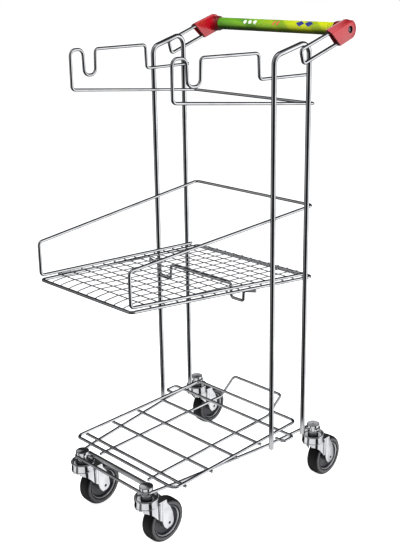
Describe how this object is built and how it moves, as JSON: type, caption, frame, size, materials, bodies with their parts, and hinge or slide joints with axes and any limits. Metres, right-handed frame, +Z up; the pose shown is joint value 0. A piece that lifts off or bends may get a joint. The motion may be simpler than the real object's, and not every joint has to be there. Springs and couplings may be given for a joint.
{
  "type": "shopping cart",
  "caption": "Wire shop trolley for hand baskets: open top tier, mesh shelf and low platform between bent rod sides, with a push bar and swivelling casters.",
  "frame": {"origin": "on the floor, at the middle of the trolley's overall length and width", "axes": "+Z up, the open loading end faces -Y, the push bar is at +Y, +X is the right side for someone looking from the loading end"},
  "size_m": [0.4598, 0.622, 1.1114],
  "materials": {
    "chrome_rod": "bright chrome-plated steel rod and tube",
    "chrome_wire": "bright chrome-plated bent wire",
    "chrome_mesh": "chrome-plated welded wire mesh",
    "chrome_caster": "chrome-plated pressed steel",
    "zinc": "zinc-plated steel fasteners",
    "clamp_plastic": "moulded red plastic, satin gloss",
    "grip_plastic": "printed yellow-green sleeve, gloss",
    "plug_plastic": "black moulded plastic",
    "tyre_rubber": "dark grey rubber, lighter side walls",
    "hub_plastic": "dark blue-grey moulded plastic"
  },
  "bodies": {
    "frame": {"side_frame_left": "chrome_rod", "side_frame_right": "chrome_rod", "handle_loop_left": "chrome_wire", "handle_loop_right": "chrome_wire", "handle_tube": "chrome_rod", "handle_grip_sleeve": "grip_plastic", "handle_clamp_left": "clamp_plastic", "handle_clamp_right": "clamp_plastic", "handle_tube_plug_left": "plug_plastic", "handle_tube_plug_right": "plug_plastic", "handle_screw_left": "zinc", "handle_screw_right": "zinc", "top_tier_wire": "chrome_wire", "middle_tier_wire": "chrome_wire", "shelf_frame": "chrome_wire", "shelf_mesh": "chrome_mesh", "bag_hanger_wire": "chrome_wire", "base_wire": "chrome_wire", "base_front_rod": "chrome_rod", "platform_frame": "chrome_wire", "platform_cross_wire_1": "chrome_wire", "platform_cross_wire_2": "chrome_wire", "platform_cross_wire_3": "chrome_wire", "platform_cross_wire_4": "chrome_wire", "platform_bumper_wire": "chrome_wire", "platform_stop_wire": "chrome_wire", "caster_socket_front_left": "chrome_caster", "caster_cap_front_left": "chrome_caster", "caster_stem_front_left": "zinc", "caster_socket_front_right": "chrome_caster", "caster_cap_front_right": "chrome_caster", "caster_stem_front_right": "zinc", "caster_socket_rear_left": "chrome_caster", "caster_cap_rear_left": "chrome_caster", "caster_stem_rear_left": "zinc", "caster_socket_rear_right": "chrome_caster", "caster_cap_rear_right": "chrome_caster", "caster_stem_rear_right": "zinc"},
    "caster_front_left": {"caster_fork_front_left": "chrome_caster", "caster_axle_front_left": "zinc"},
    "caster_front_right": {"caster_fork_front_right": "chrome_caster", "caster_axle_front_right": "zinc"},
    "caster_rear_left": {"caster_fork_rear_left": "chrome_caster", "caster_axle_rear_left": "zinc"},
    "caster_rear_right": {"caster_fork_rear_right": "chrome_caster", "caster_axle_rear_right": "zinc"},
    "wheel_front_left": {"caster_tyre_front_left": "tyre_rubber", "caster_hub_front_left": "hub_plastic"},
    "wheel_front_right": {"caster_tyre_front_right": "tyre_rubber", "caster_hub_front_right": "hub_plastic"},
    "wheel_rear_left": {"caster_tyre_rear_left": "tyre_rubber", "caster_hub_rear_left": "hub_plastic"},
    "wheel_rear_right": {"caster_tyre_rear_right": "tyre_rubber", "caster_hub_rear_right": "hub_plastic"}
  },
  "joints": [
    {"name": "swivel_front_left", "type": "hinge", "parent": "frame", "child": "caster_front_left", "pos_m": [-0.1105, -0.2538, 0.12], "axis": [0, 0, 1], "continuous": true},
    {"name": "swivel_front_right", "type": "hinge", "parent": "frame", "child": "caster_front_right", "pos_m": [0.1105, -0.2538, 0.12], "axis": [0, 0, 1], "continuous": true},
    {"name": "swivel_rear_left", "type": "hinge", "parent": "frame", "child": "caster_rear_left", "pos_m": [-0.2033, 0.2063, 0.12], "axis": [0, 0, 1], "continuous": true},
    {"name": "swivel_rear_right", "type": "hinge", "parent": "frame", "child": "caster_rear_right", "pos_m": [0.2033, 0.2063, 0.12], "axis": [0, 0, 1], "continuous": true},
    {"name": "roll_front_left", "type": "hinge", "parent": "caster_front_left", "child": "wheel_front_left", "pos_m": [-0.1105, -0.2098, 0.05], "axis": [1, 0, 0], "continuous": true},
    {"name": "roll_front_right", "type": "hinge", "parent": "caster_front_right", "child": "wheel_front_right", "pos_m": [0.1105, -0.2098, 0.05], "axis": [1, 0, 0], "continuous": true},
    {"name": "roll_rear_left", "type": "hinge", "parent": "caster_rear_left", "child": "wheel_rear_left", "pos_m": [-0.2033, 0.2503, 0.05], "axis": [1, 0, 0], "continuous": true},
    {"name": "roll_rear_right", "type": "hinge", "parent": "caster_rear_right", "child": "wheel_rear_right", "pos_m": [0.2033, 0.2503, 0.05], "axis": [1, 0, 0], "continuous": true}
  ]
}
